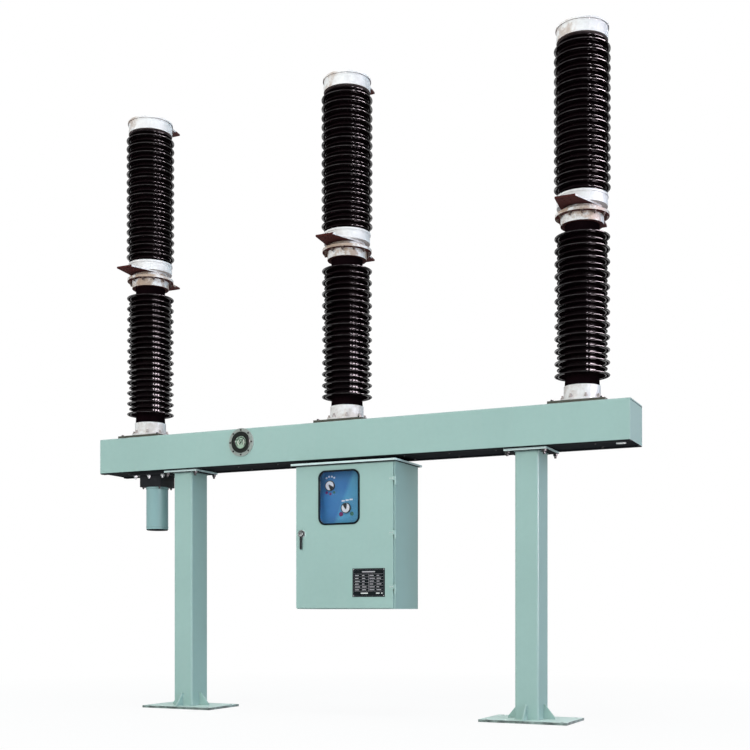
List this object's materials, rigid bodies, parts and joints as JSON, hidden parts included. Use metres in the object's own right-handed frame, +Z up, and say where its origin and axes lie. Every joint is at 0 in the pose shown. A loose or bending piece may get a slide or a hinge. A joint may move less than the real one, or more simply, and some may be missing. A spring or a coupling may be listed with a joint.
{
  "type": "gas circuit breaker, three poles, outdoor",
  "caption": "Outdoor three-pole gas circuit breaker: porcelain columns on a steel beam with two legs and a hanging mechanism cabinet with a hinged door.",
  "frame": {"origin": "on the ground under the middle of the beam", "axes": "+X along the beam, +Z up, front with the cabinet door at -Y"},
  "size_m": [4.82, 0.623, 5.2769],
  "materials": {
    "frame_paint": "satin",
    "cabinet_paint": "satin",
    "dark_casting": "matte",
    "gauge_case": "satin",
    "gauge_face": "satin",
    "clear_glass": "gloss",
    "panel_white": "satin",
    "gasket_rubber": "matte",
    "lock_black": "satin",
    "plate_black": "satin",
    "porcelain": "gloss",
    "light_casting": "satin",
    "terminal_metal": "satin"
  },
  "bodies": {
    "frame": {"foot_left": "frame_paint", "leg_left": "frame_paint", "gussets_left": "frame_paint", "head_plate_left": "frame_paint", "foot_right": "frame_paint", "leg_right": "frame_paint", "gussets_right": "frame_paint", "head_plate_right": "frame_paint", "beam_sheet": "frame_paint", "beam_bottom_cover": "frame_paint", "beam_end_plates": "frame_paint", "spring_tube": "frame_paint", "base_plate_left": "frame_paint", "base_plate_middle": "frame_paint", "base_plate_right": "frame_paint", "spring_flange": "dark_casting", "gauge_ring": "gauge_case", "gauge_dial": "gauge_face", "gauge_glass": "clear_glass", "cabinet_body": "cabinet_paint", "cabinet_roof": "cabinet_paint", "cabinet_hangers": "cabinet_paint", "fixed_hinges": "cabinet_paint", "indicator_panel": "panel_white", "indicators": "panel_white", "support_insulator_left": "porcelain", "interrupter_left": "porcelain", "foot_casting_left": "light_casting", "collar_left": "light_casting", "housing_left": "light_casting", "cap_left": "light_casting", "lower_terminal_left": "terminal_metal", "support_insulator_middle": "porcelain", "interrupter_middle": "porcelain", "foot_casting_middle": "light_casting", "collar_middle": "light_casting", "housing_middle": "light_casting", "cap_middle": "light_casting", "lower_terminal_middle": "terminal_metal", "support_insulator_right": "porcelain", "interrupter_right": "porcelain", "foot_casting_right": "light_casting", "collar_right": "light_casting", "housing_right": "light_casting", "cap_right": "light_casting", "lower_terminal_right": "terminal_metal"},
    "door": {"door_leaf": "cabinet_paint", "window_gasket": "gasket_rubber", "window_glass": "clear_glass", "door_hinges": "cabinet_paint", "door_lock": "lock_black", "nameplate": "plate_black"},
    "handle": {"door_handle": "lock_black"}
  },
  "joints": [
    {"name": "cabinet_door", "type": "hinge", "parent": "frame", "child": "door", "pos_m": [0.55, -0.238, 1.46], "axis": [0, 0, 1], "range_deg": [0, 110]},
    {"name": "door_handle", "type": "hinge", "parent": "door", "child": "handle", "pos_m": [-0.297, -0.25, 1.489], "axis": [0, -1, 0], "range_deg": [0, 90]}
  ]
}
